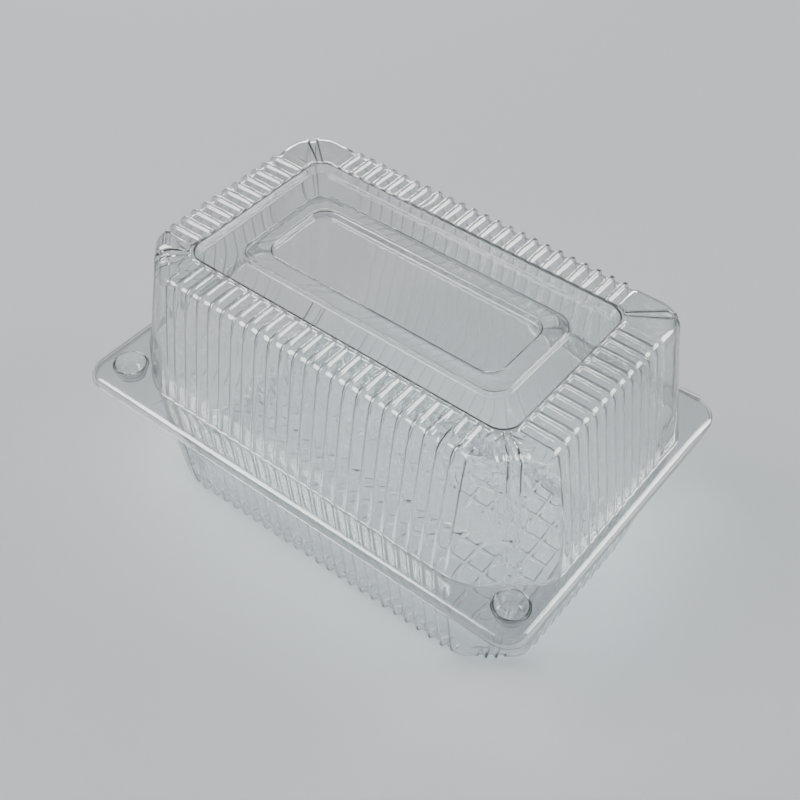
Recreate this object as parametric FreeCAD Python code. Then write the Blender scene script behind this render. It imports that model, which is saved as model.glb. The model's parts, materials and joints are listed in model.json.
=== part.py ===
"""Clear plastic clamshell pack: a deep ribbed lid hinged along the back of a ribbed tray.

Millimetres. X runs along the pack, the snap buttons are at the front (-Y) and the
hinge is at the back (+Y). The origin is on the ground, under the middle of the pack.
"""
import FreeCAD, Part
import math
import os

# Sheet and running clearance
sheet = 0.45              # thickness of the formed sheet
nest_gap = 0.3            # gap between the lid and the tray where they nest

# Ribs across the rims, shared by the lid and the tray
rib_pitch = 5.7
ribs_long = 23
ribs_short = 11
rib_depth = 1.4
flute_depth = 0.8         # what is left of the ribs down the walls
groove_half = 1.15        # half width of the valley between two ribs
corner_room = 1.85        # from the last valley of a side to the cut corner
corner_spread = 3.9       # step between the valleys of a corner's two diagonal ribs
corner_spread_in = 2.3    # the same at the rim's inner edge
corner_groove_half = 0.9

# Corner cuts as (along X, along Y): the front corners make room for the buttons
front_cut_top = (19.0, 17.0)
front_cut_foot = (24.5, 21.3)
back_cut_top = (7.6, 9.0)
back_cut_foot = (12.0, 13.5)
foot_cut_front = (19.4, 15.1)
foot_cut_back = (9.0, 10.0)
inner_cut = (5.0, 4.6)

# Lid
lid_height = 56.0         # from the top of its flange to the top of its rim
shoulder = 4.6
knuckle = 7.5             # how far the full ribs reach down the wall
wall_lean_long = 7.0      # draft of the long walls, degrees
wall_lean_short = 9.6
recess_room_long = 7.75   # from a side's last valley to the recess's end
recess_room_short = 7.15
recess_radius = 7.0
recess_depth = 4.2
recess_lean = 0.8
rim_step = 0.7            # plain edge between the recess and the ribs' inner ends

# Raised band on the lid's panel
band_margin_long = 12.3   # from the recess's ends to the band
band_margin_short = 13.2
band_radius = 9.0
band_height = 2.0
band_face = 8.0
band_lean = 0.7
window_sink = 0.5         # the panel inside the band lies this much lower

# Tray
tray_depth = 61.5         # from the ground to the top of its flange
foot_shoulder = 4.7
foot_knuckle = 8.5
foot_rib_length = 5.1
foot_step = 2.0           # plain edge between the foot ribs and the raised floor

# Waffle floor, raised inside the foot
floor_rise = 8.6
floor_lean = 0.8
floor_radius = 2.6
floor_edge = 1.05         # plain edge round the waffle
cells_long = 17
cells_wide = 8
plain_cells = 11          # length of the plain middle, in cells; it is two cells wide
ridge_half = 0.9
ridge_height = 0.9

# Snap buttons
button_radius = 6.3
button_foot = 4.7
button_depth = 5.0
button_gap = 2.0          # from a cut corner's wall to the button's mouth
button_sides = 16

# Flange, measured at the bend into the turned-down lip
flange_side = 3.3         # from the button's mouth out to the bend
flange_front = 6.6
flange_radius = 7.4
lip_out = 2.7
lip_drop = 3.6
lip_fade = 20.0           # length over which the lip flattens out towards the hinge

# Hinge
hinge_end = 7.5           # from the hinge's end to the flange's end
bead_radius = 0.8
bead_clearance = 0.35     # between the bead and the tray's curled edge
bead_overlap = 0.3        # how far the lid's flange runs into the bead
cradle_margin = 0.05      # how far the curl's end runs into the tray's flange
cradle_start = 25.0       # degrees below the flange
cradle_end = 105.0

# Sizes worked out from the ribs outwards, length along X and width along Y
ribs_length = ribs_long * rib_pitch
ribs_width = ribs_short * rib_pitch
recess_length = ribs_length + 2 * recess_room_long
recess_width = ribs_width + 2 * recess_room_short
band_length = recess_length - 2 * band_margin_long
band_width = recess_width - 2 * band_margin_short
lid_top_length = ribs_length + 2 * (corner_room + front_cut_top[0])
lid_top_width = ribs_width + 2 * (corner_room + front_cut_top[1])
wall_height = lid_height - shoulder
lean_length = math.tan(math.radians(wall_lean_short))
lean_width = math.tan(math.radians(wall_lean_long))
lid_foot_length = lid_top_length + 2 * (shoulder + wall_height * lean_length)
lid_foot_width = lid_top_width + 2 * (shoulder + wall_height * lean_width)
tray_foot_length = ribs_length + 2 * (corner_room + foot_cut_front[0])
tray_foot_width = ribs_width + 2 * (corner_room + foot_cut_front[1])
foot_inner_length = tray_foot_length - 2 * foot_rib_length
foot_inner_width = tray_foot_width - 2 * foot_rib_length
floor_length = foot_inner_length - 2 * (foot_step + floor_lean)
floor_width = foot_inner_width - 2 * (foot_step + floor_lean)
floor_margin = ridge_half + sheet + floor_edge
cell_long = (floor_length - 2 * floor_margin) / cells_long
cell_wide = (floor_width - 2 * floor_margin) / cells_wide

# The buttons stand off the middle of the front corners' cuts, and the flange reaches past them
cut_length = math.hypot(*front_cut_foot)
button_reach = button_radius + button_gap
button_x = (lid_foot_length - front_cut_foot[0]) / 2 + button_reach * front_cut_foot[1] / cut_length
button_y = -(lid_foot_width - front_cut_foot[1]) / 2 - button_reach * front_cut_foot[0] / cut_length
flange_length = 2 * (button_x + button_radius + flange_side)
flange_width = 2 * (button_radius + flange_front - button_y)

# Heights and the hinge
tray_top = tray_depth
lid_seat = tray_top + nest_gap
lid_flange = lid_seat + sheet
rim_top = lid_flange + lid_height
hinge_length = flange_length - 2 * hinge_end
hinge_y = flange_width / 2 + lip_out - bead_radius
hinge_z = lid_seat + sheet / 2
cradle_radius = bead_radius + bead_clearance
lid_back = hinge_y - bead_radius + bead_overlap
tray_back = hinge_y - cradle_radius - cradle_margin


def vec(x, y, z):
    return FreeCAD.Vector(x, y, z)


def face(points):
    """Planar face through the points, two triangles where a quad is twisted."""
    corners = []
    for point in points:
        if all(point.distanceToPoint(other) > 1e-6 for other in corners):
            corners.append(point)
    if len(corners) < 3:
        return []
    if len(corners) == 4:
        normal = (corners[1] - corners[0]).cross(corners[2] - corners[0])
        if abs(normal.normalize().dot(corners[3] - corners[0])) > 1e-5:
            return face(corners[:3]) + face([corners[0], corners[2], corners[3]])
    return [Part.Face(Part.makePolygon(corners + corners[:1]))]


def skin(first, second):
    """Ruled strip between two rings. A ring is a list of (left, middle, right) points."""
    faces = []
    for k in range(len(first)):
        a, b = first[k], second[k]
        after_a, after_b = first[(k + 1) % len(first)], second[(k + 1) % len(second)]
        faces += face([a[0], a[1], b[1], b[0]])
        faces += face([a[1], a[2], b[2], b[1]])
        faces += face([a[2], after_a[0], after_b[0], b[2]])
    return faces


def skins(rings):
    faces = []
    for first, second in zip(rings, rings[1:]):
        faces += skin(first, second)
    return faces


def wire(ring):
    points = []
    for item in ring:
        for point in item:
            if not points or point.distanceToPoint(points[-1]) > 1e-6:
                points.append(point)
    return Part.makePolygon(points + points[:1])


def plate(outline, holes=()):
    """Flat face inside a wire, less the wires inside it."""
    return Part.makeFace([outline] + list(holes), "Part::FaceMakerBullseye").Faces


def closed_solid(faces):
    shell = Part.makeShell(faces)
    shell.sewShape()
    solid = Part.makeSolid(shell.Shells[0] if shell.ShapeType != "Shell" else shell)
    if solid.Volume < 0:
        solid.reverse()
    return solid


def grooves(middle, along, inward, stops, half, depth, rise):
    """Valleys along a straight run: a point each where they have no depth."""
    items = []
    for stop in stops:
        base = middle + along * stop
        if depth == 0:
            items.append((base, base, base))
            continue
        low = base + inward * (depth * math.cos(rise)) + vec(0, 0, depth * math.sin(rise))
        items.append((base - along * half, low, base + along * half))
    return items


def fluted_ring(length, width, z, front_cut, back_cut, depth=0.0, rise=0.0, spread=corner_spread):
    """Eight-sided outline with valleys between its ribs, anticlockwise from the front side.

    depth is the depth of the valleys and rise the angle at which they go in:
    0 is straight in from the side, and plus or minus a right angle is up or down.
    """
    x, y = length / 2, width / 2
    long_stops = [(k - ribs_long / 2) * rib_pitch for k in range(ribs_long + 1)]
    short_stops = [(k - ribs_short / 2) * rib_pitch for k in range(ribs_short + 1)]
    corner_half = corner_groove_half * spread / corner_spread
    ring = []
    for sx, sy, cut in ((1, -1, front_cut), (1, 1, back_cut), (-1, 1, back_cut), (-1, -1, front_cut)):
        on_long = vec(sx * (x - cut[0]), sy * y, z)
        on_short = vec(sx * x, sy * (y - cut[1]), z)
        if sx * sy < 0:
            start, end = on_long, on_short
            side = grooves(vec(0, sy * y, z), vec(-sy, 0, 0), vec(0, -sy, 0), long_stops,
                           groove_half, depth, rise)
        else:
            start, end = on_short, on_long
            side = grooves(vec(sx * x, 0, z), vec(0, sx, 0), vec(-sx, 0, 0), short_stops,
                           groove_half, depth, rise)
        along = (end - start).normalize()
        inward = vec(-along.y, along.x, 0)
        corner = grooves((start + end) * 0.5, along, inward, (-spread, 0, spread),
                         corner_half, depth, rise)
        ring += side + [(start,) * 3] + corner + [(end,) * 3]
    return ring


def arc_points(cx, cy, radius, start, z, steps=3):
    angles = [math.radians(start + 90 * k / steps) for k in range(steps + 1)]
    return [vec(cx + radius * math.cos(a), cy + radius * math.sin(a), z) for a in angles]


def rounded_ring(length, width, radius, z):
    x, y = length / 2 - radius, width / 2 - radius
    points = []
    for sx, sy, start in ((1, -1, -90), (1, 1, 0), (-1, 1, 90), (-1, -1, 180)):
        points += arc_points(sx * x, sy * y, radius, start, z)
    return [(point,) * 3 for point in points]


def flange_ring(inset, back, grow, z, drop):
    """Outline of a flange or its lip: the back edge stays put, and the lip's drop fades to it."""
    radius = flange_radius + grow - inset
    x = flange_length / 2 - flange_radius
    front = -flange_width / 2 + flange_radius
    points = arc_points(x, front, radius, -90, z)
    points.append(vec(x + radius, back - lip_fade, z))
    points += arc_points(x, back - radius, radius, 0, z)
    points += arc_points(-x, back - radius, radius, 90, z)
    points.append(vec(-x - radius, back - lip_fade, z))
    points += arc_points(-x, front, radius, 180, z)
    for point in points:
        point.z -= drop * max(0.0, min(1.0, (back - point.y) / lip_fade))
    return [(point,) * 3 for point in points]


def lip(inset, back, top):
    """Turned-down lip round a flange: its upper skin, cut edge and lower skin."""
    bend = flange_ring(inset, back, 0, top, 0)
    edge = flange_ring(inset, back, lip_out, top, lip_drop)
    bend_under = flange_ring(inset, back, 0, top - sheet, 0)
    edge_under = flange_ring(inset, back, lip_out, top - sheet, lip_drop)
    return skin(bend, edge) + skin(bend_under, edge_under) + skin(edge, edge_under)


def button_ring(side, radius, z):
    angles = [2 * math.pi * k / button_sides for k in range(button_sides)]
    return [(vec(side * button_x + radius * math.cos(a), button_y + radius * math.sin(a), z),) * 3
            for a in angles]


def button_rims(radius, z):
    return [wire(button_ring(side, radius, z)) for side in (-1, 1)]


def button_skins(radius, foot, depth, z):
    """Tapered cups that hang from the flange at its two front corners."""
    faces = []
    for side in (-1, 1):
        low = button_ring(side, foot, z - depth)
        faces += skin(button_ring(side, radius, z), low) + plate(wire(low))
    return faces


def flange(wall_top, wall_under, inset, back, top, grow):
    """Flange from the wall out to its lip, with the two button cups sunk in it."""
    cup, cup_foot = button_radius + grow, button_foot + grow
    under, under_foot = cup + sheet, cup_foot + sheet
    depth = button_depth + grow
    faces = plate(wire(flange_ring(inset, back, 0, top, 0)),
                  [wire(wall_top)] + button_rims(cup, top))
    faces += plate(wire(flange_ring(inset, back, 0, top - sheet, 0)),
                   [wire(wall_under)] + button_rims(under, top - sheet))
    faces += button_skins(cup, cup_foot, depth, top)
    faces += button_skins(under, under_foot, depth, top - sheet)
    return faces + lip(inset, back, top)


def lid_wall(offset):
    """Skin of the lid from the recess edge over the ribs to the flange, offset into the sheet."""
    top = rim_top - offset
    full = rib_depth
    inner = recess_length + 2 * offset, recess_width + 2 * offset
    step = 2 * rim_step
    bevel = 2 * (shoulder - 0.7 * offset)
    knuckle_x = lid_foot_length - 2 * (lid_height - knuckle) * lean_length - 2 * offset
    knuckle_y = lid_foot_width - 2 * (lid_height - knuckle) * lean_width - 2 * offset
    top_x = lid_top_length - 0.5 * offset
    top_y = lid_top_width - 0.5 * offset
    down = -math.pi / 2
    return [
        fluted_ring(inner[0], inner[1], top - full, inner_cut, inner_cut, spread=corner_spread_in),
        fluted_ring(inner[0] + step, inner[1] + step, top, inner_cut, inner_cut, full, down,
                    corner_spread_in),
        fluted_ring(top_x, top_y, top, front_cut_top, back_cut_top, full, down * 0.75),
        fluted_ring(top_x + bevel, top_y + bevel, rim_top - shoulder - 0.7 * offset,
                    front_cut_top, back_cut_top, full, down * 0.25),
        fluted_ring(knuckle_x, knuckle_y, rim_top - knuckle, front_cut_top, back_cut_top,
                    flute_depth, 0),
        fluted_ring(lid_foot_length - 2 * offset, lid_foot_width - 2 * offset,
                    lid_flange - offset, front_cut_foot, back_cut_foot),
    ]


def lid_panel(rim, offset):
    """Recessed panel with its raised band, from the rim's inner edge to the middle."""
    base = rim_top - rib_depth - offset
    floor = rim_top - recess_depth - offset
    out = 0.8 * offset
    edge = rounded_ring(recess_length - 2 * rim_step + 2 * out, recess_width - 2 * rim_step + 2 * out,
                        recess_radius + out, base)
    lean = 2 * (rim_step + recess_lean)
    foot = rounded_ring(recess_length - lean + 2 * out, recess_width - lean + 2 * out,
                        recess_radius + out, floor)
    band_foot = rounded_ring(band_length - 2 * out, band_width - 2 * out, band_radius - out, floor)
    crown = 2 * (band_lean + out)
    band_edge = rounded_ring(band_length - crown, band_width - crown, band_radius - crown / 2,
                             floor + band_height)
    inside = 2 * band_face - 2 * out
    window_edge = rounded_ring(band_length - inside, band_width - inside, band_radius - band_face / 4,
                               floor + band_height)
    sill = inside + 2 * band_lean
    window = rounded_ring(band_length - sill, band_width - sill, band_radius - band_face / 4,
                          floor - window_sink)
    faces = plate(wire(rim), [wire(edge)]) + skin(edge, foot)
    faces += plate(wire(foot), [wire(band_foot)]) + skin(band_foot, band_edge)
    faces += plate(wire(band_edge), [wire(window_edge)]) + skin(window_edge, window)
    return faces + plate(wire(window))


def hinge_bead():
    """Round bead along the fold, on the lid's back edge."""
    return Part.makeCylinder(bead_radius, hinge_length, vec(-hinge_length / 2, hinge_y, hinge_z),
                             vec(1, 0, 0))


def hinge_cradle():
    """Curled edge of the tray's flange that runs under the bead."""
    outer = cradle_radius + sheet

    def at(radius, angle):
        a = math.radians(angle)
        return vec(-hinge_length / 2, hinge_y - radius * math.cos(a), hinge_z - radius * math.sin(a))

    middle = (cradle_start + cradle_end) / 2
    edges = [
        Part.Arc(at(outer, cradle_start), at(outer, middle), at(outer, cradle_end)).toShape(),
        Part.makeLine(at(outer, cradle_end), at(cradle_radius, cradle_end)),
        Part.Arc(at(cradle_radius, cradle_end), at(cradle_radius, middle),
                 at(cradle_radius, cradle_start)).toShape(),
        Part.makeLine(at(cradle_radius, cradle_start), at(outer, cradle_start)),
    ]
    return Part.Face(Part.Wire(edges)).extrude(vec(hinge_length, 0, 0))


def make_lid():
    outside, inside = lid_wall(0.0), lid_wall(sheet)
    faces = skins(outside) + skins(inside)
    faces += lid_panel(outside[0], 0.0) + lid_panel(inside[0], sheet)
    faces += flange(outside[-1], inside[-1], 0.0, lid_back, lid_flange, 0.0)
    return closed_solid(faces).fuse(hinge_bead())


def tray_wall(offset):
    """Skin of the tray from its flange down over the foot ribs to the floor."""
    wall_x = tray_foot_length + 2 * foot_shoulder
    wall_y = tray_foot_width + 2 * foot_shoulder
    fall = (foot_knuckle - foot_shoulder) / (tray_depth - foot_shoulder)
    rise_x = (lid_foot_length - wall_x) * fall
    rise_y = (lid_foot_width - wall_y) * fall
    up = math.pi / 2
    return [
        fluted_ring(lid_foot_length - 2 * offset, lid_foot_width - 2 * offset,
                    tray_top - sheet + offset, front_cut_foot, back_cut_foot),
        fluted_ring(wall_x + rise_x - 2 * offset, wall_y + rise_y - 2 * offset, foot_knuckle,
                    foot_cut_front, foot_cut_back, flute_depth, 0),
        fluted_ring(wall_x - 2 * offset, wall_y - 2 * offset, foot_shoulder + 0.4 * offset,
                    foot_cut_front, foot_cut_back, rib_depth, up * 0.25),
        fluted_ring(tray_foot_length - offset, tray_foot_width - offset, offset,
                    foot_cut_front, foot_cut_back, rib_depth, up * 0.75),
        fluted_ring(foot_inner_length, foot_inner_width, offset, inner_cut, inner_cut,
                    spread=corner_spread_in),
    ]


def floor_riser(offset):
    """Step from the foot up to the floor, as two rings."""
    low_x, low_y = floor_length + 2 * floor_lean, floor_width + 2 * floor_lean
    return [
        rounded_ring(low_x - 2 * offset, low_y - 2 * offset, floor_radius - offset, offset),
        rounded_ring(floor_length - 2 * offset, floor_width - 2 * offset, floor_radius - offset,
                     floor_rise + offset),
    ]


def waffle(boundary):
    """Floor of square pockets between raised ridges, with a plain middle."""
    floor = floor_rise + sheet
    crest = floor + ridge_height
    xs = [(k - cells_long / 2) * cell_long for k in range(cells_long + 1)]
    ys = [(k - cells_wide / 2) * cell_wide for k in range(cells_wide + 1)]
    plain = plain_cells / 2 * cell_long
    edge = plain + 0.1 * cell_long

    def frame(x0, x1, y0, y1, side, tops):
        """Four slopes from the crest lines to a rectangle on the floor."""
        low = [vec(x0 + side, y0 + side, floor), vec(x1 - side, y0 + side, floor),
               vec(x1 - side, y1 - side, floor), vec(x0 + side, y1 - side, floor)]
        faces = []
        for k in range(4):
            top = tops[k]
            points = top + [low[(k + 1) % 4], low[k]]
            faces.append(Part.Face(Part.makePolygon(points + points[:1])))
        return faces, Part.makePolygon(low + low[:1])

    def tops(x0, x1, y0, y1):
        across = [x for x in xs if x0 - ridge_half < x < x1 + ridge_half]
        up = [y for y in ys if y0 - ridge_half < y < y1 + ridge_half]
        return [[vec(x, y0, crest) for x in across], [vec(x1, y, crest) for y in up],
                [vec(x, y1, crest) for x in reversed(across)],
                [vec(x0, y, crest) for y in reversed(up)]]

    faces = []
    for i in range(cells_long):
        for j in range(cells_wide):
            along = -edge <= xs[i] and xs[i + 1] <= edge
            across = abs(ys[j] + ys[j + 1]) < 1.5 * cell_wide
            if not (along and across):
                box = (xs[i], xs[i + 1], ys[j], ys[j + 1])
                slopes, low = frame(*box, ridge_half, tops(*box))
                faces += slopes + plate(low)
    box = (-plain, plain, -cell_wide, cell_wide)
    slopes, low = frame(*box, ridge_half, tops(*box))
    faces += slopes + plate(low)
    box = (xs[0], xs[-1], ys[0], ys[-1])
    slopes, low = frame(*box, -ridge_half, tops(*box))
    return faces + slopes + plate(wire(boundary), [low])


def make_tray():
    outside, inside = tray_wall(0.0), tray_wall(sheet)
    faces = skins(outside) + skins(inside)
    under, over = floor_riser(0.0), floor_riser(sheet)
    faces += plate(wire(outside[-1]), [wire(under[0])]) + skins(under) + plate(wire(under[1]))
    faces += plate(wire(inside[-1]), [wire(over[0])]) + skins(over) + waffle(over[1])
    faces += flange(inside[0], outside[0], nest_gap, tray_back, tray_top, sheet + nest_gap)
    return closed_solid(faces).fuse(hinge_cradle())


os.makedirs("parts", exist_ok=True)
make_tray().exportStep("parts/tray.step")
make_lid().exportStep("parts/lid.step")
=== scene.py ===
"""Clear plastic clamshell pack, dressed as a Blender add-on that runs as a script.

Lengths are in metres, from sizes written in millimetres. X runs along the pack, the
snap buttons are at the front (-Y) and the fold is at the back (+Y), as in the CAD.
"""
import json
import math

import bmesh
import bpy
import numpy as np
from mathutils import Matrix, Vector, geometry, noise


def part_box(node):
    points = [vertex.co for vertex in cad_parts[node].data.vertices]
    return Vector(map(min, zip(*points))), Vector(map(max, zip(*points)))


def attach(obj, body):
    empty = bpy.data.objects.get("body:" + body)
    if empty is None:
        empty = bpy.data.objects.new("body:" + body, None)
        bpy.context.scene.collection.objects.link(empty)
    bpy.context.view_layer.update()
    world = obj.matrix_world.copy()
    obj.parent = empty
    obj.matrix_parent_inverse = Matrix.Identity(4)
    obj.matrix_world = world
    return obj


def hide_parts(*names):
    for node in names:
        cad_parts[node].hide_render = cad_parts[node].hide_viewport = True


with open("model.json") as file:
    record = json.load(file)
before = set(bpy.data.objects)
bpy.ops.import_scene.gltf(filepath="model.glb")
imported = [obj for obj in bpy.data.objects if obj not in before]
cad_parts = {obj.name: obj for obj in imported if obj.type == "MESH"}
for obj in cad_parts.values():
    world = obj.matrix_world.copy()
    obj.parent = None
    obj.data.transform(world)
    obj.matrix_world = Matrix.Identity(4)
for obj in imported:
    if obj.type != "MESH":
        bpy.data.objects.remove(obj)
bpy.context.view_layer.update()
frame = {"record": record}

bl_info = {
    "name": "Clamshell pack",
    "version": (1, 0, 0),
    "blender": (4, 5, 0),
    "location": "View3D > Sidebar > Pack",
    "description": "Builds a clear hinged food pack with ribbed walls and a waffle floor",
    "category": "Object",
}

MM = 0.001

# Outlines shared by the two halves, in millimetres. A pair is a size along X, then along Y.
# Cuts are what the corners take off the sides: the pair of the front corners, then the back's.
FLANGE = (204.98, 139.25)
FLANGE_RADIUS = 7.4
LIP_OUT = 2.7
LIP_DROP = 3.6
LIP_FADE = 20.0           # length over which the lip dies out towards the fold
WALL_FOOT = (199.39, 122.22)
WALL_FOOT_CUTS = ((24.5, 21.3), (12.0, 13.5))
WALL_BEND = 4.0           # rounding beside the corners, twice as much at the flange
WALL_EASE = 1.5           # power that sets the loops closer under the shoulder
INNER_CUT = (5.0, 4.6)
INNER_BEND = 2.0
CORNER_SPREAD = 3.9       # between a corner's valleys at the outer edge of a rim
CORNER_SPREAD_IN = 2.3    # and at its inner edge
KNUCKLE_LEAD = 1.5        # the valleys start to get shallow this far above the knuckles' end
KNUCKLE_FADE = 2.5        # and are as shallow as the flutes after this much
FLUTE_FADE = 0.45         # share of their depth that the flutes lose down the wall
FILLET_FADE = 0.35        # share of what is left that they lose in the flange's fillet
BUTTON = (92.89, -56.73)
BUTTON_MOUTH = 6.2        # radii of a cup
BUTTON_FOOT = 4.7
BUTTON_DEPTH = 5.0
BUTTON_SIDES = 40
BUTTON_FLAT = 1.5         # of a cup's bend, to the loops on the flats beside it
NEST_GAP = 0.3

# Lid
LID_TOP = (172.8, 100.4)
LID_CUTS = ((19.0, 17.0), (7.6, 9.0))
LID_SHOULDER = 4.6
LID_KNUCKLE = 7.5
LID_FILLET = 0.9
LID_CUP_BEND = 0.4
RECESS = (146.6, 77.0)
RECESS_RADIUS = 8.0
RECESS_DEPTH = 4.2
RECESS_LEAN = 1.0
POCKET_START = 0.5        # from the recess to the valleys of the rim
POCKET_RUN = 0.9
POCKET_STEPS = 4
POCKET_DEPTH = 1.0
BAND = (122.0, 50.6)
BAND_RADIUS = 9.0
BAND_HEIGHT = 2.0
BAND_FACE = 8.0
BAND_LEAN = 0.9
WINDOW_SINK = 0.5

# Knocks in the lid's rim: place with Z from the rim's top, radius, depth and seed
KNOCKS = (
    ((57.0, -50.0, -1.0), 7.0, 1.5, 8),
    ((-22.7, 45.0, 0.0), 3.5, 1.3, 21),
)
KNOCK_GRAIN = 3.2         # size of the dents in a knock
KNOCK_UNEVEN = 0.8        # shares of a knock's depth
KNOCK_SINK = 0.35
KNOCK_LIMIT = 0.02        # strength below which a knock leaves a point alone

# Tray
FOOT = (173.6, 96.6)
FOOT_CUTS = ((19.4, 15.1), (9.0, 10.0))
FOOT_INNER = (163.4, 86.4)
FOOT_INNER_CUTS = ((8.5, 6.8), INNER_CUT)
FOOT_SHOULDER = 4.7
FOOT_KNUCKLE = 8.5
FOOT_RAMP = 0.6           # share of the foot over which its valleys deepen
TRAY_FILLET = 0.5
TRAY_CUP_BEND = 0.05
TRAY_CUP_TRIM = 0.1       # off the cups' radii, to leave room for the wall's fillet
FLOOR = (157.8, 80.8)
FLOOR_RADIUS = 9.6
FLOOR_RISE = 8.6
RISER_LEAN = 0.8
CELL_LONG = 9.0
CELL_WIDE = 9.5
CELLS_LONG = 17
CELLS_WIDE = 8
PLAIN_CELLS = (13, 2)     # cells without ridges in the middle of the floor
PLAIN_MARGIN = 1.8
WAFFLE_EDGE = 1.3
WAFFLE_CORNER = 8.0
WAFFLE_STOPS = (0, 0.04, 0.07, 0.094, 0.118, 0.5, 0.882, 0.906, 0.93, 0.96)    # in cells
RIDGE_SHARE = 0.28        # width of a ridge against a rib's valley, each in its own pitch

# Fold along the back
FOLD_LENGTH = 190.0
BEAD_RADIUS = 0.8
BEAD_SIDES = 20
BEAD_TIP = (0.02, 0.25)   # last ring of the bead: distance from its end, and share of its radius
BEAD_BITE = 0.6           # of the bead's radius, from the fold's axis to the lid's flange
CURL_GAP = 0.35
CURL_START = 25.0         # degrees below the flange
CURL_END = 105.0
CURL_STEPS = 10
CURL_BITE = 0.6           # of the sheet, from the curl's inside to the tray's flange

# Places read from the CAD
joint = frame["record"]["behaviour"]["joints"][0]
FOLD_Y = joint["pos_m"][1] / MM
FOLD_Z = joint["pos_m"][2] / MM
RIM_TOP = (Vector(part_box("lid")[1]) / MM).z

# How finely a loop of the sheet is divided
RIB_STOPS = (0.0, 0.19, 0.25, 0.335, 0.42, 0.5, 0.58, 0.665, 0.75, 0.81)    # in rib pitches
GAP_POINTS = 2
BEND_POINTS = 5
BEND_SHARE = 0.3          # of a corner's cut, the most that a bend takes
BEND_LEAST = 0.05
CUT_POINTS = 37
CORNER_POINTS = 2 * GAP_POINTS + 2 * BEND_POINTS + CUT_POINTS
EDGE_POINTS = 24          # along a side without ribs
ARC_POINTS = 14           # round a corner without ribs
NO_VALLEY = 0.5           # phase of a point that lies on a crest
LAND = 0.335              # phase half way up a valley's flank, where the corners lie
CUT_GROWTH = 0.586        # of a corner's cut, for its line to move out as far as the sides
FLAT_EDGE = 0.35          # from a bend to the loop that keeps the flat beside it flat
ALONG = np.array([(1, 0), (0, 1), (-1, 0), (0, -1)], float)
OUTWARD = np.array([(0, -1), (1, 0), (0, 1), (-1, 0)], float)
LEAST_RADIUS = 0.5
MERGE = 0.002             # points closer than this become one
LAYERS = ("phase", "phase_across", "depth", "inward")
SHEET_CREASE = 60.0       # degrees from which an edge stays sharp
FOLD_CREASE = 50.0

# Stage, in metres, and lamps as name, place, size and watts
STAGE_HALF = 3.0
STAGE_DROP = 0.0002
LAMP_AIM = (0, 0, 0.06)
LAMPS = (
    ("front left", (-0.6, -0.6, 0.95), (0.5, 0.9), 28.0),
    ("back right", (0.75, 0.75, 0.72), (0.6, 0.6), 22.0),
    ("low back left", (-0.85, 0.85, 0.28), (0.7, 0.14), 14.0),
)

# Camera: degrees and millimetres, its aim with Z from the fold
CAMERA_AZIMUTH = 36.764
CAMERA_ELEVATION = 46.173
CAMERA_ROLL = 1.818
CAMERA_DISTANCE = 503.7
CAMERA_AIM = (3.73, -4.65, 0.2)
CAMERA_LENS = 57.69
CAMERA_SENSOR = 36.0


def colour(text):
    """Linear RGBA from an sRGB hex value."""
    values = [int(text[k:k + 2], 16) / 255 for k in (1, 3, 5)]
    return [v / 12.92 if v <= 0.04045 else ((v + 0.055) / 1.055) ** 2.4 for v in values] + [1.0]


class PackSettings(bpy.types.PropertyGroup):
    """Sizes and colours of the pack and the stage."""
    sheet: bpy.props.FloatProperty(
        name="Sheet", description="Thickness of the formed sheet",
        default=0.45 * MM, unit="LENGTH", precision=5)
    rib_pitch: bpy.props.FloatProperty(
        name="Rib pitch", description="Distance from one rib to the next",
        default=5.7 * MM, unit="LENGTH", precision=5)
    ribs_long: bpy.props.IntProperty(
        name="Ribs, long side", description="Ribs along each long side", default=23)
    ribs_short: bpy.props.IntProperty(
        name="Ribs, short side", description="Ribs along each short side", default=11)
    rib_depth: bpy.props.FloatProperty(
        name="Rib depth", description="Depth of the valleys on the rims",
        default=1.4 * MM, unit="LENGTH", precision=5)
    flute_depth: bpy.props.FloatProperty(
        name="Flute depth", description="Depth of the valleys down the walls",
        default=0.7 * MM, unit="LENGTH", precision=5)
    valley_half: bpy.props.FloatProperty(
        name="Valley half width", description="From a valley's middle to its flank, in rib pitches",
        default=0.25)
    flank: bpy.props.FloatProperty(
        name="Flank", description="Width of a valley's flank, in rib pitches", default=0.17)
    ridge_height: bpy.props.FloatProperty(
        name="Waffle height", description="Height of the ridges on the floor",
        default=0.9 * MM, unit="LENGTH", precision=5)
    plastic: bpy.props.FloatVectorProperty(
        name="Plastic", description="Tint of the sheet", subtype="COLOR", size=4,
        default=colour("#FBFCFC"))
    # Edge-on tint: a little of this darkening is the longer path through the sheet, but most is
    # painted shade that draws dark outlines along the ribs and walls.
    plastic_edge_shade: bpy.props.FloatVectorProperty(
        name="Plastic, edge on", description="Tint where the sheet is seen edge on",
        subtype="COLOR", size=4, default=colour("#242628"))
    floor: bpy.props.FloatVectorProperty(
        name="Floor", description="Colour of the studio floor", subtype="COLOR", size=4,
        default=colour("#949698"))


def settings():
    return bpy.context.scene.pack_settings


def add_node(tree, kind, values=None, links=None, **properties):
    """Adds a node, sets its properties and input values, and links its inputs."""
    node = tree.nodes.new(kind)
    for name, value in properties.items():
        setattr(node, name, value)
    for key, value in (values or {}).items():
        node.inputs[key].default_value = value
    for key, socket in (links or {}).items():
        tree.links.new(socket, node.inputs[key])
    return node


def grown(size, amount):
    return size[0] + 2 * amount, size[1] + 2 * amount


def between(a, b, t):
    return tuple(p + (q - p) * t for p, q in zip(a, b))


def smooth(t):
    t = min(1.0, max(0.0, t))
    return t * t * (3 - 2 * t)


def quadratic(start, middle, end, count):
    t = np.linspace(0, 1, count)[:, None]
    return (1 - t) ** 2 * start + 2 * t * (1 - t) * middle + t ** 2 * end


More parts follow.
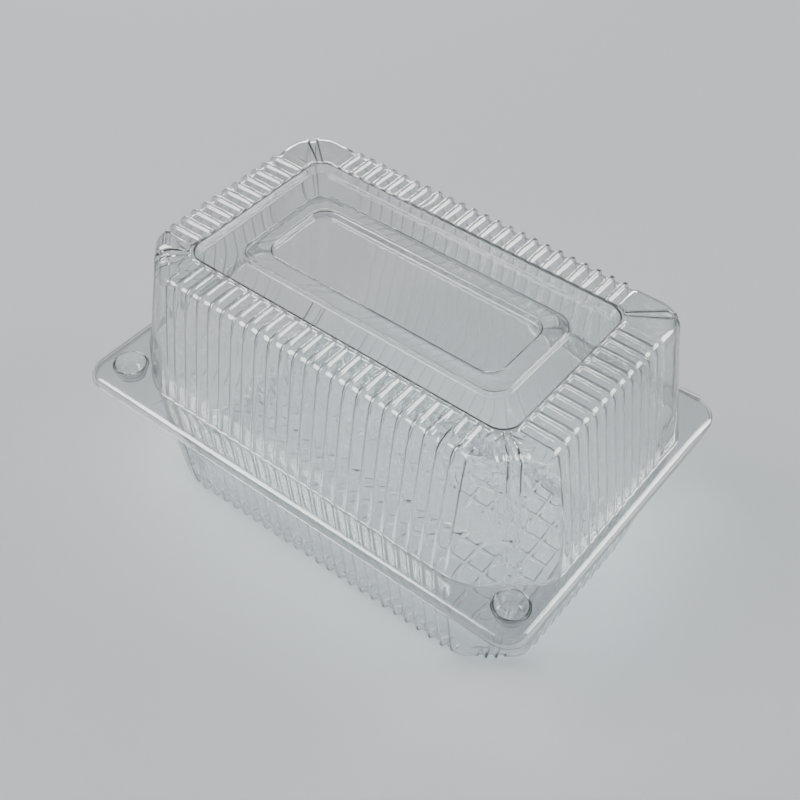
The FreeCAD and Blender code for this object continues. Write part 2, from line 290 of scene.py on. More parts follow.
def side_stops(quarter):
    """Places and phases along a side, from before its first valley to past its last."""
    pack = settings()
    ribs = pack.ribs_long if quarter % 2 == 0 else pack.ribs_short
    phases = [k + stop for k in range(-1, ribs + 1) for stop in RIB_STOPS]
    phases = np.array([phase for phase in phases if -LAND < phase < ribs + LAND])
    phases = np.concatenate([[-LAND], phases, [ribs + LAND]])
    return (phases - ribs / 2) * pack.rib_pitch / MM, phases


class Loop:
    """One closed line of points round the pack, and where the ribs' valleys cross it.

    Its depth is how deep a valley is there, inwards and up by the angle rise.
    """

    def __init__(self, points, z, phase, inward, depth, rise):
        self.points = np.column_stack([points, np.broadcast_to(z, len(points))])
        self.phase = phase
        self.depth = np.broadcast_to(depth, len(points)).astype(float)
        flat = inward * math.cos(rise)
        self.inward = np.column_stack([flat, np.full(len(points), math.sin(rise))])


def cut_loop(size, z, front_cut, back_cut, depth=0.0, rise=0.0, spread=CORNER_SPREAD,
             bend=WALL_BEND):
    """Rectangle with cut corners, all bends rounded."""
    half = (size[1] / 2, size[0] / 2) * 2
    reach = (size[0] / 2, size[1] / 2) * 2
    cuts = (front_cut, back_cut, back_cut, front_cut)
    points, phases, inwards = [], [], []
    for quarter in range(4):
        after = (quarter + 1) % 4
        along, out = ALONG[quarter], OUTWARD[quarter]
        along_next, out_next = ALONG[after], OUTWARD[after]
        own, other = (0, 1) if quarter % 2 == 0 else (1, 0)
        cut = cuts[quarter]
        stops, phase = side_stops(quarter)
        stops_next = side_stops(after)[0]
        side = out * half[quarter] + stops[:, None] * along
        first = out * half[quarter] + along * (reach[quarter] - cut[own])
        second = out_next * half[after] - along_next * (reach[after] - cut[other])
        across = second - first
        length = np.linalg.norm(across)
        across = across / length
        most = min(bend, BEND_SHARE * length)
        room = max(min(most, reach[quarter] - cut[own] - stops[-1]), BEND_LEAST)
        room_next = max(min(most, reach[after] - cut[other] - stops_next[-1]), BEND_LEAST)
        bend_in = first - along * room
        bend_out = second + along_next * room_next
        cut_in = first + across * room
        cut_out = second - across * room_next
        start_next = out_next * half[after] + stops_next[0] * along_next
        gaps = np.linspace(0, 1, GAP_POINTS + 2)[1:-1, None]
        corner = [
            side[-1] + (bend_in - side[-1]) * gaps,
            quadratic(bend_in, first, cut_in, BEND_POINTS),
            np.linspace(cut_in, cut_out, CUT_POINTS + 2)[1:-1],
            quadratic(cut_out, second, bend_out, BEND_POINTS),
            bend_out + (start_next - bend_out) * gaps,
        ]
        from_middle = (corner[2] - (first + second) / 2) @ across / spread
        corner_phase = np.clip(from_middle, -1 - LAND, 1 + LAND)
        beside = np.full(GAP_POINTS + BEND_POINTS, LAND)
        points += [side] + corner
        phases += [phase, beside, corner_phase, beside]
        normal = np.array([-across[1], across[0]])
        inwards += [np.tile(-out, (len(side), 1)), np.tile(normal, (CORNER_POINTS, 1))]
    return Loop(np.vstack(points), z, np.concatenate(phases), np.vstack(inwards), depth, rise)


def rounded_loop(size, radius, z, back=None):
    """Rounded rectangle without ribs, its back edge optionally elsewhere."""
    front = size[1] / 2
    back = front if back is None else back
    deep = (back + front) / 2
    half = (deep, size[0] / 2) * 2
    reach = (size[0] / 2, deep) * 2
    turn = np.linspace(0, math.pi / 2, ARC_POINTS + 2)[1:-1, None]
    points = []
    for quarter in range(4):
        out, out_next = OUTWARD[quarter], OUTWARD[(quarter + 1) % 4]
        along = ALONG[quarter] * (reach[quarter] - radius)
        centre = out * (half[quarter] - radius) + along
        points += [out * half[quarter] + np.linspace(-1, 1, EDGE_POINTS)[:, None] * along,
                   centre + radius * (np.cos(turn) * out + np.sin(turn) * out_next)]
    flat = np.vstack(points) + (0, (back - front) / 2)
    count = len(flat)
    return Loop(flat, z, np.full(count, NO_VALLEY), np.zeros((count, 2)), 0.0, 0.0)


def step_loops(size, radius, low, high, lean, count=7):
    """Rounded step between two flat levels, going inwards from low to high.

    A loop just outside each end keeps the flats flat under smooth shading.
    """
    loops = []
    for k in range(-1, count + 1):
        t = min(1.0, max(0.0, k / (count - 1)))
        inwards = lean * t + (FLAT_EDGE if k == count else -FLAT_EDGE if k < 0 else 0.0)
        loops.append(rounded_loop(grown(size, -inwards), max(radius - inwards, LEAST_RADIUS),
                                  low + (high - low) * smooth(t)))
    return loops


def pocket_loops(size, z):
    """Inner ends of the valleys on the rim: from its border down to their floor."""
    loops = []
    for k in range(POCKET_STEPS + 2):
        t = min(1.0, k / POCKET_STEPS)
        inset = POCKET_START + POCKET_RUN * k / POCKET_STEPS
        loops.append(cut_loop(grown(size, inset), z, INNER_CUT, INNER_CUT,
                              depth=POCKET_DEPTH * smooth(t), rise=-math.pi / 2,
                              spread=CORNER_SPREAD_IN, bend=INNER_BEND))
    return loops


def rim_loops(inner, inner_cuts, outer, outer_cuts, z, up, depths):
    """Flat ribbed ring; depths holds each loop's share of the way out and its valleys' depth."""
    loops = []
    for t, depth in depths:
        cuts = [between(a, b, t) for a, b in zip(inner_cuts, outer_cuts)]
        spread = CORNER_SPREAD_IN + (CORNER_SPREAD - CORNER_SPREAD_IN) * t
        loops.append(cut_loop(between(inner, outer, t), z, *cuts, depth=depth,
                              rise=-up * math.pi / 2, spread=spread))
    return loops


def shoulder_loops(size, z, radius, cuts, up, count=6):
    """Quarter round from the flat rim into the wall, with the ribs at full depth."""
    full = settings().rib_depth / MM
    loops = []
    for k in range(count + 1):
        turn = k / count * math.pi / 2
        place = grown(size, radius * math.sin(turn))
        height = z - up * radius * (1 - math.cos(turn))
        rise = -up * (math.pi / 2 - turn)
        loops.append(cut_loop(place, height, *cuts, depth=full, rise=rise))
    return loops


def wall_loops(size, cuts, top_z, foot_z, knuckle, count=16):
    """Straight wall from under the shoulder to the flange, its flutes fading out."""
    pack = settings()
    full, flute = pack.rib_depth / MM, pack.flute_depth / MM
    span = abs(top_z - foot_z)
    loops = []
    for k in range(1, count + 1):
        t = (k / count) ** WALL_EASE
        past = t * span - knuckle + KNUCKLE_LEAD
        depth = flute + (full - flute) * (1 - smooth(past / KNUCKLE_FADE))
        depth *= 1 - FLUTE_FADE * smooth(t)
        here = [between(a, b, t) for a, b in zip(cuts, WALL_FOOT_CUTS)]
        loops.append(cut_loop(between(size, WALL_FOOT, t), top_z + (foot_z - top_z) * t,
                              *here, depth=depth, bend=WALL_BEND * (1 + t)))
    return loops


def foot_fillet(z, up, radius, count=4):
    """Small fillet from the wall's foot into the flange."""
    flute = (1 - FLUTE_FADE) * settings().flute_depth / MM
    loops = []
    for k in range(1, count + 2):
        share = min(k / count, 1)
        turn = share * math.pi / 2
        out = radius * (1 - math.cos(turn)) + (FLAT_EDGE if k > count else 0)
        wider = [grown(cut, out * CUT_GROWTH / 2) for cut in WALL_FOOT_CUTS]
        loops.append(cut_loop(grown(WALL_FOOT, out), z - up * radius * math.sin(turn), *wider,
                              depth=flute * (1 - FILLET_FADE * share), bend=2 * WALL_BEND))
    return loops


def lip_loops(inset, back, z, count=7):
    """From the flange's bend out and down to the lip's edge, fading towards the fold."""
    loops = []
    for k in range(-1, count):
        turn = max(0, k) / (count - 1) * math.pi / 2
        out = LIP_OUT * math.sin(turn) if k >= 0 else -FLAT_EDGE
        drop = LIP_DROP * (1 - math.cos(turn))
        size = (FLANGE[0] - 2 * inset + 2 * out, FLANGE[1] - 2 * inset + 2 * out)
        loop = rounded_loop(size, FLANGE_RADIUS + out - inset, z, back)
        fade = np.clip((back - loop.points[:, 1]) / LIP_FADE, 0, 1)
        loop.points[:, 2] -= drop * fade
        loops.append(loop)
    return loops


def button_loops(side, grow, z, bend):
    """Circles from the flange down into a button's cup, ending in a flat foot."""
    mouth, foot = BUTTON_MOUTH + grow, BUTTON_FOOT + grow
    turns = [k / 3 * math.pi / 2 for k in range(4)]
    profile = [(mouth + bend * BUTTON_FLAT, 0.0)]
    profile += [(mouth + bend * (1 - math.sin(a)), bend * (1 - math.cos(a))) for a in turns]
    for t in (k / 5 for k in range(1, 5)):
        profile.append((mouth + (BUTTON_FOOT - BUTTON_MOUTH) * t,
                        bend + (BUTTON_DEPTH - 2 * bend) * t))
    for a in turns:
        profile.append((foot - bend * (1 - math.cos(a)),
                        BUTTON_DEPTH - bend * (1 - math.sin(a))))
    profile.append((foot - bend * BUTTON_FLAT, BUTTON_DEPTH))
    angles = [2 * math.pi * k / BUTTON_SIDES for k in range(BUTTON_SIDES)]
    return [[(side * BUTTON[0] + radius * math.cos(a), BUTTON[1] + radius * math.sin(a), z - depth)
             for a in angles] for radius, depth in profile]


def crumple(points, centre, radius, depth, seed):
    """Pushes points near a knock in by up to depth, unevenly and the same in each run."""
    noise.seed_set(seed)
    offset = points - np.array(centre)
    near = np.exp(-np.sum(offset ** 2, axis=1) / radius ** 2)
    for k in np.flatnonzero(near > KNOCK_LIMIT):
        place = Vector(points[k]) / KNOCK_GRAIN
        push = noise.noise_vector(place) * KNOCK_UNEVEN - Vector((0, 0, KNOCK_SINK))
        points[k] += np.array(push) * depth * near[k]
    points[:, 2] = np.minimum(points[:, 2], RIM_TOP)


def inside(place, ring):
    """Whether a place is inside a ring of points, seen from above."""
    found = False
    for a, b in zip(ring, ring[1:] + ring[:1]):
        a, b = a.co, b.co
        if (a.y > place.y) != (b.y > place.y):
            if place.x < a.x + (b.x - a.x) * (place.y - a.y) / (b.y - a.y):
                found = not found
    return found


class Sheet:
    """A formed sheet under construction: its loops, joined into one surface."""

    def __init__(self):
        self.mesh = bmesh.new()
        floats = self.mesh.verts.layers.float
        self.phase = floats.new("phase")
        self.phase_across = floats.new("phase_across")
        self.depth = floats.new("depth")
        self.inward = self.mesh.verts.layers.float_vector.new("inward")

    def point(self, place, phase=NO_VALLEY, phase_across=NO_VALLEY, depth=0.0, inward=(0, 0, 0)):
        vert = self.mesh.verts.new(Vector(place) * MM)
        vert[self.phase] = phase
        vert[self.phase_across] = phase_across
        vert[self.depth] = depth * MM
        vert[self.inward] = Vector(inward)
        return vert

    def ring(self, loop):
        return [self.point(p, a, NO_VALLEY, d, i)
                for p, a, d, i in zip(loop.points, loop.phase, loop.depth, loop.inward)]

    def bridge(self, first, second):
        for k in range(len(first)):
            after = (k + 1) % len(first)
            self.mesh.faces.new((first[k], first[after], second[after], second[k]))

    def skin(self, loops, flip=False):
        """Joins loops in order and returns the first and last rings of points."""
        rings = [self.ring(loop) for loop in loops]
        for first, second in zip(rings, rings[1:]):
            if flip:
                first, second = second, first
            self.bridge(first, second)
        return rings[0], rings[-1]

    def stitch(self, inner, outer):
        """Triangles between two rings that needn't have as many points, matched by direction."""
        def ordered(ring):
            turns = [math.atan2(vert.co.y, vert.co.x) for vert in ring]
            start = turns.index(min(turns))
            ring = ring[start:] + ring[:start + 1]
            turns = turns[start:] + turns[:start + 1]
            turns[-1] += 2 * math.pi
            return ring, turns

        inner, turns_in = ordered(inner)
        outer, turns_out = ordered(outer)
        last_in, last_out = len(inner) - 1, len(outer) - 1
        i = j = 0
        while i < last_in or j < last_out:
            step_in = j == last_out or (i < last_in and turns_in[i + 1] < turns_out[j + 1])
            third = inner[i + 1] if step_in else outer[j + 1]
            self.mesh.faces.new((inner[i], outer[j], third))
            i, j = (i + 1, j) if step_in else (i, j + 1)

    def cap(self, ring):
        """Flat end inside a ring, from its middle."""
        middle = self.mesh.verts.new(sum((vert.co for vert in ring), Vector()) / len(ring))
        middle[self.phase] = middle[self.phase_across] = NO_VALLEY
        for k in range(len(ring)):
            self.mesh.faces.new((ring[k], ring[(k + 1) % len(ring)], middle))

    def fill(self, outer, *holes):
        """Flat face inside the outer ring, less the holes."""
        verts, edges = [], []
        for ring in (outer, *holes):
            start, count = len(verts), len(ring)
            edges += [(start + k, start + (k + 1) % count) for k in range(count)]
            verts += ring
        found = geometry.delaunay_2d_cdt([vert.co.xy for vert in verts], edges, [], 1, 1e-7)
        for face in found[2]:
            corners = [verts[found[3][k][0]] for k in face]
            middle = sum((vert.co for vert in corners), Vector()) / 3
            if not any(inside(middle, hole) for hole in holes):
                self.mesh.faces.new(corners)

    def add_buttons(self, grow, z, bend):
        """Two cups; returns their mouths, which are holes in the flange."""
        mouths = []
        for side in (-1, 1):
            rings = [[self.point(p) for p in loop] for loop in button_loops(side, grow, z, bend)]
            for first, second in zip(rings, rings[1:]):
                self.bridge(second, first)
            self.cap(rings[-1])
            mouths.append(rings[0])
        return mouths

    def close(self, up):
        """Merges points that lie on each other, and turns every face outwards.

        up is 1 where the panel in the middle faces up, and -1 where it faces down.
        """
        bmesh.ops.remove_doubles(self.mesh, verts=self.mesh.verts, dist=MERGE * MM)
        bmesh.ops.recalc_face_normals(self.mesh, faces=self.mesh.faces)
        middle = min(self.mesh.faces, key=lambda face: face.calc_center_median().xy.length)
        if middle.normal.z * up < 0:
            bmesh.ops.reverse_faces(self.mesh, faces=self.mesh.faces)


def relief_tree():
    """Presses the valleys and ridges into a sheet, from the phases stored on its points."""
    tree = bpy.data.node_groups.new("Sheet relief", "GeometryNodeTree")
    face = tree.interface
    face.new_socket("Geometry", in_out="INPUT", socket_type="NodeSocketGeometry")
    for name in ("Valley half", "Flank"):
        face.new_socket(name, in_out="INPUT", socket_type="NodeSocketFloat")
    face.new_socket("Material", in_out="INPUT", socket_type="NodeSocketMaterial")
    face.new_socket("Geometry", in_out="OUTPUT", socket_type="NodeSocketGeometry")
    start = add_node(tree, "NodeGroupInput")
    edge = add_node(tree, "ShaderNodeMath", operation="ADD",
                    links={0: start.outputs["Valley half"], 1: start.outputs["Flank"]})

    def stored(name, kind="FLOAT"):
        node = add_node(tree, "GeometryNodeInputNamedAttribute", {"Name": name}, data_type=kind)
        return node.outputs["Attribute"]

    def pressed(name):
        """1 in a valley of that phase, 0 on a crest."""
        phase = stored(name)
        whole = add_node(tree, "ShaderNodeMath", operation="ROUND", links={0: phase})
        off = add_node(tree, "ShaderNodeMath", operation="SUBTRACT",
                       links={0: phase, 1: whole.outputs[0]})
        away = add_node(tree, "ShaderNodeMath", operation="ABSOLUTE", links={0: off.outputs[0]})
        flank = add_node(tree, "ShaderNodeMapRange", {"To Min": 1.0, "To Max": 0.0},
                         {"Value": away.outputs[0], "From Min": start.outputs["Valley half"],
                          "From Max": edge.outputs[0]}, interpolation_type="SMOOTHSTEP")
        return flank.outputs["Result"]

    both = add_node(tree, "ShaderNodeMath", operation="MAXIMUM",
                    links={0: pressed("phase"), 1: pressed("phase_across")})
    amount = add_node(tree, "ShaderNodeMath", operation="MULTIPLY",
                      links={0: both.outputs[0], 1: stored("depth")})
    offset = add_node(tree, "ShaderNodeVectorMath", operation="SCALE",
                      links={0: stored("inward", "FLOAT_VECTOR"), "Scale": amount.outputs[0]})
    moved = add_node(tree, "GeometryNodeSetPosition",
                     links={"Geometry": start.outputs["Geometry"], "Offset": offset.outputs[0]})
    real = add_node(tree, "GeometryNodeRealizeInstances", links={"Geometry": moved.outputs[0]})
    dressed = add_node(tree, "GeometryNodeSetMaterial",
                       links={"Geometry": real.outputs[0], "Material": start.outputs["Material"]})
    add_node(tree, "NodeGroupOutput", links={"Geometry": dressed.outputs[0]})
    return tree


def socket_id(tree, name):
    return next(item.identifier for item in tree.interface.items_tree
                if item.name == name and item.in_out == "INPUT")


def form_sheet(sheet, name, node, material):
    """Presses, thickens and finishes a sheet, and puts it in place of its CAD node."""
    pack = settings()
    mesh = bpy.data.meshes.new(name + "_plan")
    sheet.mesh.to_mesh(mesh)
    sheet.mesh.free()
    draft = bpy.data.objects.new(name + "_plan", mesh)
    bpy.context.scene.collection.objects.link(draft)
    tree = bpy.data.node_groups.get("Sheet relief") or relief_tree()
    relief = draft.modifiers.new("Relief", "NODES")
    relief.node_group = tree
    relief[socket_id(tree, "Valley half")] = pack.valley_half
    relief[socket_id(tree, "Flank")] = pack.flank
    relief[socket_id(tree, "Material")] = material
    thick = draft.modifiers.new("Thickness", "SOLIDIFY")
    thick.thickness = pack.sheet
    thick.offset = -1
    graph = bpy.context.evaluated_depsgraph_get()
    made = bpy.data.meshes.new_from_object(draft.evaluated_get(graph))
    bpy.data.objects.remove(draft)
    bpy.data.meshes.remove(mesh)
    made.name = name
    made.materials.clear()
    made.materials.append(material)
    for layer in [item.name for item in made.attributes if item.name in LAYERS]:
        made.attributes.remove(made.attributes[layer])
    made.shade_smooth()
    made.set_sharp_from_angle(angle=math.radians(SHEET_CREASE))
    piece = bpy.data.objects.new(name, made)
    bpy.context.scene.collection.objects.link(piece)
    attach(piece, node)
    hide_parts(node)


def clear_sheet():
    """Thermoformed clear PET sheet: glossy, with faint ripples where it stretched over the mould.

    Light passes through it nearly unhindered, so that the pack throws only a faint shade.
    """
    found = bpy.data.materials.get("thermoformed clear PET")
    if found:
        return found
    material = bpy.data.materials.new("thermoformed clear PET")
    material.use_nodes = True
    tree = material.node_tree
    tree.nodes.clear()
    place = add_node(tree, "ShaderNodeTexCoord").outputs["Object"]
    ripple = add_node(tree, "ShaderNodeTexNoise", {"Scale": 90.0, "Detail": 2.0},
                      {"Vector": place})
    bump = add_node(tree, "ShaderNodeBump", {"Strength": 0.06, "Distance": 0.4 * MM},
                    {"Height": ripple.outputs["Fac"]})
    haze = add_node(tree, "ShaderNodeTexNoise", {"Scale": 160.0, "Detail": 3.0}, {"Vector": place})
    rough = add_node(tree, "ShaderNodeMapRange", {"To Min": 0.005, "To Max": 0.03},
                     {"Value": haze.outputs["Fac"]})
    # Painted shade: the sheet turns near black where it is seen edge on, drawing dark outlines on
    # the ribs and walls over the pale floor seen through it.
    facing = add_node(tree, "ShaderNodeLayerWeight", {"Blend": 0.12})
    tint = add_node(tree, "ShaderNodeMix", {"A": settings().plastic, "B": settings().plastic_edge_shade},
                    {"Factor": facing.outputs["Facing"]}, data_type="RGBA")
    shader = add_node(tree, "ShaderNodeBsdfPrincipled",
                      {"Transmission Weight": 1.0, "IOR": 1.57},
                      {"Base Color": tint.outputs["Result"], "Roughness": rough.outputs["Result"],
                       "Normal": bump.outputs["Normal"]})
    shadow = add_node(tree, "ShaderNodeLightPath").outputs["Is Shadow Ray"]
    pass_light = add_node(tree, "ShaderNodeBsdfTransparent", {"Color": colour("#ECEFF0")})
    surface = add_node(tree, "ShaderNodeMixShader",
                       links={0: shadow, 1: shader.outputs["BSDF"], 2: pass_light.outputs["BSDF"]})
    add_node(tree, "ShaderNodeOutputMaterial", links={"Surface": surface.outputs["Shader"]})
    return material


class PACK_OT_lid(bpy.types.Operator):
    """Lid: ribbed rim and walls, recessed panel with a raised band, flange and cups"""
    bl_idname = "pack.lid"
    bl_label = "Lid"

    def execute(self, context):
        pack = settings()
        full = pack.rib_depth / MM
        flange_z = FOLD_Z + pack.sheet / MM / 2
        sheet = Sheet()
        middle, rim = sheet.skin(self.panel(), flip=True)
        sheet.cap(middle)
        loops = pocket_loops(RECESS, RIM_TOP)
        start = grown(RECESS, POCKET_START + POCKET_RUN * (1 + 1 / POCKET_STEPS))
        depths = [(t, POCKET_DEPTH + (full - POCKET_DEPTH) * t) for t in (0.3, 0.6, 0.9)]
        loops += rim_loops(start, (INNER_CUT, INNER_CUT), LID_TOP, LID_CUTS, RIM_TOP, 1, depths)
        loops += shoulder_loops(LID_TOP, RIM_TOP, LID_SHOULDER, LID_CUTS, 1)
        loops += wall_loops(grown(LID_TOP, LID_SHOULDER), LID_CUTS, RIM_TOP - LID_SHOULDER,
                            flange_z + LID_FILLET, LID_KNUCKLE - LID_SHOULDER)
        loops += foot_fillet(flange_z + LID_FILLET, 1, LID_FILLET)
        for loop in loops:
            for (x, y, z), radius, depth, seed in KNOCKS:
                crumple(loop.points, (x, y, RIM_TOP + z), radius, depth, seed)
        first, last = sheet.skin(loops, flip=True)
        sheet.stitch(rim, first)
        mouths = sheet.add_buttons(0.0, flange_z, LID_CUP_BEND)
        back = FOLD_Y - BEAD_BITE * BEAD_RADIUS
        bend, _ = sheet.skin(lip_loops(0.0, back, flange_z), flip=True)
        sheet.fill(bend, last, *mouths)
        sheet.close(1)
        form_sheet(sheet, "lid_sheet", "lid", clear_sheet())
        return {"FINISHED"}

    def panel(self):
        """Window, raised band and recess, from the middle outwards."""
        floor = RIM_TOP - RECESS_DEPTH
        crest = floor + BAND_HEIGHT
        window = step_loops(grown(BAND, -BAND_FACE), BAND_RADIUS - BAND_FACE / 4, crest,
                            floor - WINDOW_SINK, BAND_LEAN)
        band = step_loops(BAND, BAND_RADIUS, floor, crest, BAND_LEAN)
        recess = step_loops(grown(RECESS, -FLAT_EDGE), RECESS_RADIUS - FLAT_EDGE, RIM_TOP,
                            floor, RECESS_LEAN)
        return window[::-1] + band[::-1] + recess[::-1]


class PACK_OT_tray(bpy.types.Operator):
    """Tray: ribbed foot and walls, raised waffle floor, flange and cups"""
    bl_idname = "pack.tray"
    bl_label = "Tray"

    def execute(self, context):
        pack = settings()
        full = pack.rib_depth / MM
        thickness = pack.sheet / MM
        flange_z = FOLD_Z - 1.5 * thickness - NEST_GAP
        sheet = Sheet()
        edge = self.waffle(sheet)
        riser = step_loops(grown(FLOOR, RISER_LEAN), FLOOR_RADIUS, 0.0, FLOOR_RISE, RISER_LEAN)
        first, low = sheet.skin(riser[::-1])
        sheet.stitch(edge, first)
        loops = [cut_loop(FOOT_INNER, 0.0, *FOOT_INNER_CUTS, spread=CORNER_SPREAD_IN,
                          bend=INNER_BEND)]
        depths = [(t, full * smooth(t / FOOT_RAMP)) for t in (0.2, 0.4, 0.6, 0.8)]
        loops += rim_loops(FOOT_INNER, FOOT_INNER_CUTS, FOOT, FOOT_CUTS, 0.0, -1, depths)
        loops += shoulder_loops(FOOT, 0.0, FOOT_SHOULDER, FOOT_CUTS, -1)
        loops += wall_loops(grown(FOOT, FOOT_SHOULDER), FOOT_CUTS, FOOT_SHOULDER,
                            flange_z - TRAY_FILLET, FOOT_KNUCKLE - FOOT_SHOULDER)
        loops += foot_fillet(flange_z - TRAY_FILLET, -1, TRAY_FILLET)
        first, last = sheet.skin(loops)
        sheet.stitch(low, first)
        nested = 2 * thickness + NEST_GAP
        mouths = sheet.add_buttons(nested - TRAY_CUP_TRIM, flange_z, TRAY_CUP_BEND)
        back = FOLD_Y - BEAD_RADIUS - CURL_GAP - thickness * CURL_BITE
        bend, _ = sheet.skin(lip_loops(nested, back, flange_z), flip=True)
        sheet.fill(bend, last, *mouths)
        sheet.close(-1)
        form_sheet(sheet, "tray_sheet", "tray", clear_sheet())
        return {"FINISHED"}

    def narrow(self, cells):
        """Phases at which a ridge is RIDGE_SHARE as wide as a valley of the same pitch."""
        off = cells - np.round(cells)
        return np.round(cells) + np.sign(off) * np.minimum(np.abs(off) / RIDGE_SHARE, 0.499)

    def rounded(self, x, y):
        """Pulls a point of the square grid in towards the floor's rounded corners."""
        half_x = CELLS_LONG * CELL_LONG / 2 - WAFFLE_CORNER
        half_y = CELLS_WIDE * CELL_WIDE / 2 - WAFFLE_CORNER
        off = abs(x) - half_x, abs(y) - half_y
        if min(off) <= 0:
            return x, y
        scale = max(off) / math.hypot(*off)
        return math.copysign(half_x + off[0] * scale, x), math.copysign(half_y + off[1] * scale, y)

    def waffle(self, sheet):
        """Floor grid, finer beside its ridges; returns its edge."""
        height = settings().ridge_height / MM
        stops = np.array(WAFFLE_STOPS)
        cells_x, cells_y = (np.append(np.concatenate([stops + k for k in range(count)]), count)
                            for count in (CELLS_LONG, CELLS_WIDE))
        xs = (cells_x - CELLS_LONG / 2) * CELL_LONG
        ys = (cells_y - CELLS_WIDE / 2) * CELL_WIDE
        phases_x, phases_y = self.narrow(cells_x), self.narrow(cells_y)
        plain_x = PLAIN_CELLS[0] / 2 * CELL_LONG - PLAIN_MARGIN
        plain_y = PLAIN_CELLS[1] / 2 * CELL_WIDE - PLAIN_MARGIN
        grid = []
        for x, phase in zip(xs, phases_x):
            column = []
            for y, across in zip(ys, phases_y):
                bare = abs(x) < plain_x and abs(y) < plain_y
                column.append(sheet.point((*self.rounded(x, y), FLOOR_RISE), phase, across,
                                          0.0 if bare else height, (0, 0, 1)))
            grid.append(column)
        for first, second in zip(grid, grid[1:]):
            for k in range(len(first) - 1):
                sheet.mesh.faces.new((first[k], first[k + 1], second[k + 1], second[k]))
        outline = [column[0] for column in grid]
        outline += grid[-1][1:]
        outline += [column[-1] for column in grid[::-1]][1:]
        outline += grid[0][::-1][1:-1]
        wider_x, wider_y = (xs[-1] + WAFFLE_EDGE) / xs[-1], (ys[-1] + WAFFLE_EDGE) / ys[-1]
        edge = []
        for vert in outline:
            x, y, z = vert.co / MM
            edge.append(sheet.point((x * wider_x, y * wider_y, z)))
        sheet.bridge(outline, edge)
        return edge


def swept_bar(name, section, stations, body, material):
    """Closed bar along X: the section's (y, z) points, scaled about their middle at each x."""
    mesh = bmesh.new()
    middle = np.mean(section, axis=0)
    rings = []
    for x, scale in stations:
        ring = middle + (np.array(section) - middle) * scale
        rings.append([mesh.verts.new(Vector((x, y, z)) * MM) for y, z in ring])
    count = len(section)
    for first, second in zip(rings, rings[1:]):
        for k in range(count):
            after = (k + 1) % count
            mesh.faces.new((first[k], second[k], second[after], first[after]))
    mesh.faces.new(rings[0])
    mesh.faces.new(rings[-1][::-1])
    bmesh.ops.recalc_face_normals(mesh, faces=mesh.faces)
    made = bpy.data.meshes.new(name)
    mesh.to_mesh(made)
    mesh.free()
    made.materials.append(material)
    made.shade_smooth()
    made.set_sharp_from_angle(angle=math.radians(FOLD_CREASE))
    piece = bpy.data.objects.new(name, made)
    bpy.context.scene.collection.objects.link(piece)
    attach(piece, body)


class PACK_OT_fold(bpy.types.Operator):
    """Fold along the back: a round bead on the lid over a curl on the tray"""
    bl_idname = "pack.fold"
    bl_label = "Fold"

    def execute(self, context):
        half = FOLD_LENGTH / 2
        turns = [2 * math.pi * k / BEAD_SIDES for k in range(BEAD_SIDES)]
        bead = [(FOLD_Y + BEAD_RADIUS * math.cos(a), FOLD_Z + BEAD_RADIUS * math.sin(a))
                for a in turns]
        ends = [(half - BEAD_RADIUS * (1 - math.sin(a)), math.cos(a))
                for a in (math.pi / 2 * k / 5 for k in range(4))]
        ends.append((half - BEAD_TIP[0], BEAD_TIP[1]))
        stations = [(-x, scale) for x, scale in ends[::-1]] + ends
        swept_bar("fold_bead", bead, stations, "lid", clear_sheet())
        inner = BEAD_RADIUS + CURL_GAP
        outer = inner + settings().sheet / MM
        arc = [math.radians(CURL_START + (CURL_END - CURL_START) * k / CURL_STEPS)
               for k in range(CURL_STEPS + 1)]
        curl = [(FOLD_Y - radius * math.cos(a), FOLD_Z - radius * math.sin(a))
                for radius, angles in ((outer, arc), (inner, arc[::-1])) for a in angles]
        swept_bar("fold_curl", curl, [(-half, 1.0), (half, 1.0)], "tray", clear_sheet())
        return {"FINISHED"}


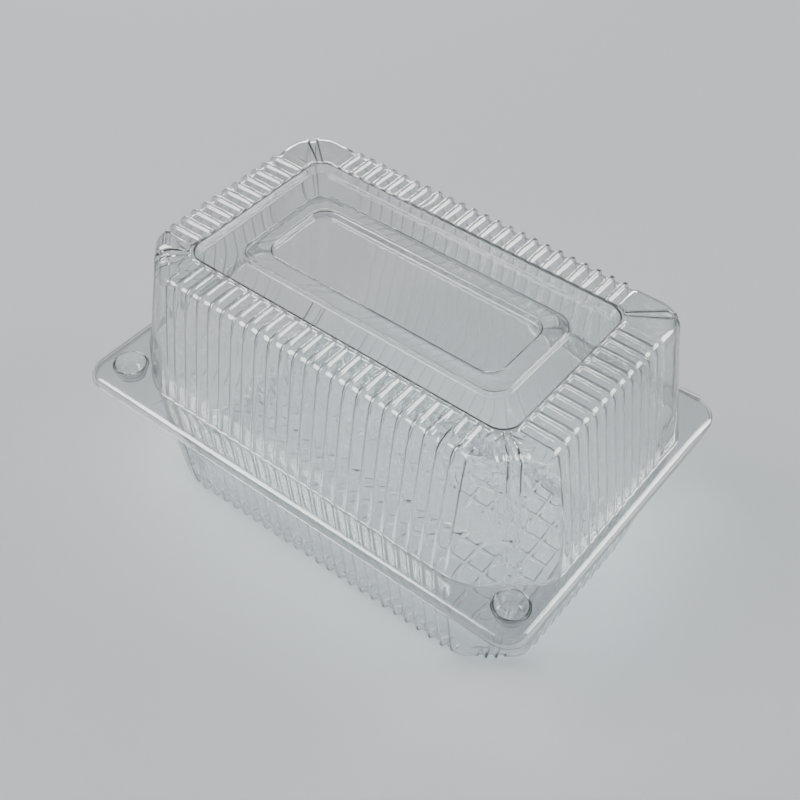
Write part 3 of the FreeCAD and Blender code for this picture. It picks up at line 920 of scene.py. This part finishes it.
class PACK_OT_stage(bpy.types.Operator):
    """Pale floor, soft lights and the camera"""
    bl_idname = "pack.stage"
    bl_label = "Stage"

    def execute(self, context):
        scene = context.scene
        self.floor(scene)
        for lamp in LAMPS:
            self.light(scene, *lamp)
        self.world(scene)
        self.camera(scene)
        return {"FINISHED"}

    def floor(self, scene):
        """Matt paper under the pack."""
        size = STAGE_HALF
        mesh = bpy.data.meshes.new("floor")
        mesh.from_pydata([(-size, -size, 0), (size, -size, 0), (size, size, 0), (-size, size, 0)],
                         [], [(0, 1, 2, 3)])
        floor = bpy.data.objects.new("floor", mesh)
        floor.location.z = -STAGE_DROP
        scene.collection.objects.link(floor)
        paper = bpy.data.materials.new("matt paper backdrop")
        paper.use_nodes = True
        shader = paper.node_tree.nodes["Principled BSDF"]
        shader.inputs["Base Color"].default_value = settings().floor
        shader.inputs["Roughness"].default_value = 0.9
        mesh.materials.append(paper)

    def light(self, scene, name, place, size, power):
        """Soft box facing the pack."""
        lamp = bpy.data.lights.new(name, "AREA")
        lamp.shape = "RECTANGLE"
        lamp.size, lamp.size_y = size
        lamp.energy = power
        holder = bpy.data.objects.new(name, lamp)
        holder.location = place
        aim = Vector(LAMP_AIM) - Vector(place)
        holder.rotation_euler = aim.to_track_quat("-Z", "Y").to_euler()
        scene.collection.objects.link(holder)

    def world(self, scene):
        """Studio walls: dim near the floor, brighter overhead."""
        world = bpy.data.worlds.new("studio")
        world.use_nodes = True
        tree = world.node_tree
        tree.nodes.clear()
        place = add_node(tree, "ShaderNodeTexCoord").outputs["Generated"]
        height = add_node(tree, "ShaderNodeSeparateXYZ", links={0: place}).outputs["Z"]
        strength = add_node(tree, "ShaderNodeMapRange",
                            {"From Min": 0.0, "From Max": 0.9, "To Min": 0.1, "To Max": 0.34},
                            {"Value": height}, interpolation_type="SMOOTHSTEP")
        back = add_node(tree, "ShaderNodeBackground", {"Color": colour("#DDE0E4")},
                        {"Strength": strength.outputs["Result"]})
        add_node(tree, "ShaderNodeOutputWorld", links={"Surface": back.outputs["Background"]})
        scene.world = world

    def camera(self, scene):
        """Camera at the photograph's angle, aimed near the middle of the flange."""
        azimuth, elevation, roll = (math.radians(angle) for angle in (
            CAMERA_AZIMUTH, CAMERA_ELEVATION, CAMERA_ROLL))
        x, y, z = CAMERA_AIM
        aim = Vector((x * MM, y * MM, (FOLD_Z + z) * MM))
        back = Vector((math.sin(azimuth) * math.cos(elevation),
                       -math.cos(azimuth) * math.cos(elevation), math.sin(elevation)))
        right = Vector((0, 0, 1)).cross(back).normalized()
        up = back.cross(right)
        across = right * math.cos(roll) + up * math.sin(roll)
        upward = up * math.cos(roll) - right * math.sin(roll)
        lens = bpy.data.cameras.new("camera")
        lens.sensor_width = CAMERA_SENSOR
        lens.lens = CAMERA_LENS
        lens.clip_start = 0.01
        camera = bpy.data.objects.new("camera", lens)
        turn = Matrix((across, upward, back)).transposed().to_4x4()
        camera.matrix_world = Matrix.Translation(aim + back * (CAMERA_DISTANCE * MM)) @ turn
        scene.collection.objects.link(camera)
        scene.camera = camera


class PACK_PT_panel(bpy.types.Panel):
    """Lists the pieces of the pack"""
    bl_idname = "PACK_PT_panel"
    bl_label = "Clamshell pack"
    bl_space_type = "VIEW_3D"
    bl_region_type = "UI"
    bl_category = "Pack"

    def draw(self, context):
        layout = self.layout
        pack = context.scene.pack_settings
        for name in PackSettings.__annotations__:
            layout.prop(pack, name)
        for step in (PACK_OT_tray, PACK_OT_lid, PACK_OT_fold, PACK_OT_stage):
            layout.operator(step.bl_idname)


CLASSES = (PackSettings, PACK_OT_tray, PACK_OT_lid, PACK_OT_fold, PACK_OT_stage, PACK_PT_panel)


def register():
    for item in CLASSES:
        bpy.utils.register_class(item)
    bpy.types.Scene.pack_settings = bpy.props.PointerProperty(type=PackSettings)


def unregister():
    del bpy.types.Scene.pack_settings
    for item in reversed(CLASSES):
        bpy.utils.unregister_class(item)


def main():
    register()
    bpy.ops.pack.tray()
    bpy.ops.pack.lid()
    bpy.ops.pack.fold()
    bpy.ops.pack.stage()


if __name__ == "__main__":
    main()
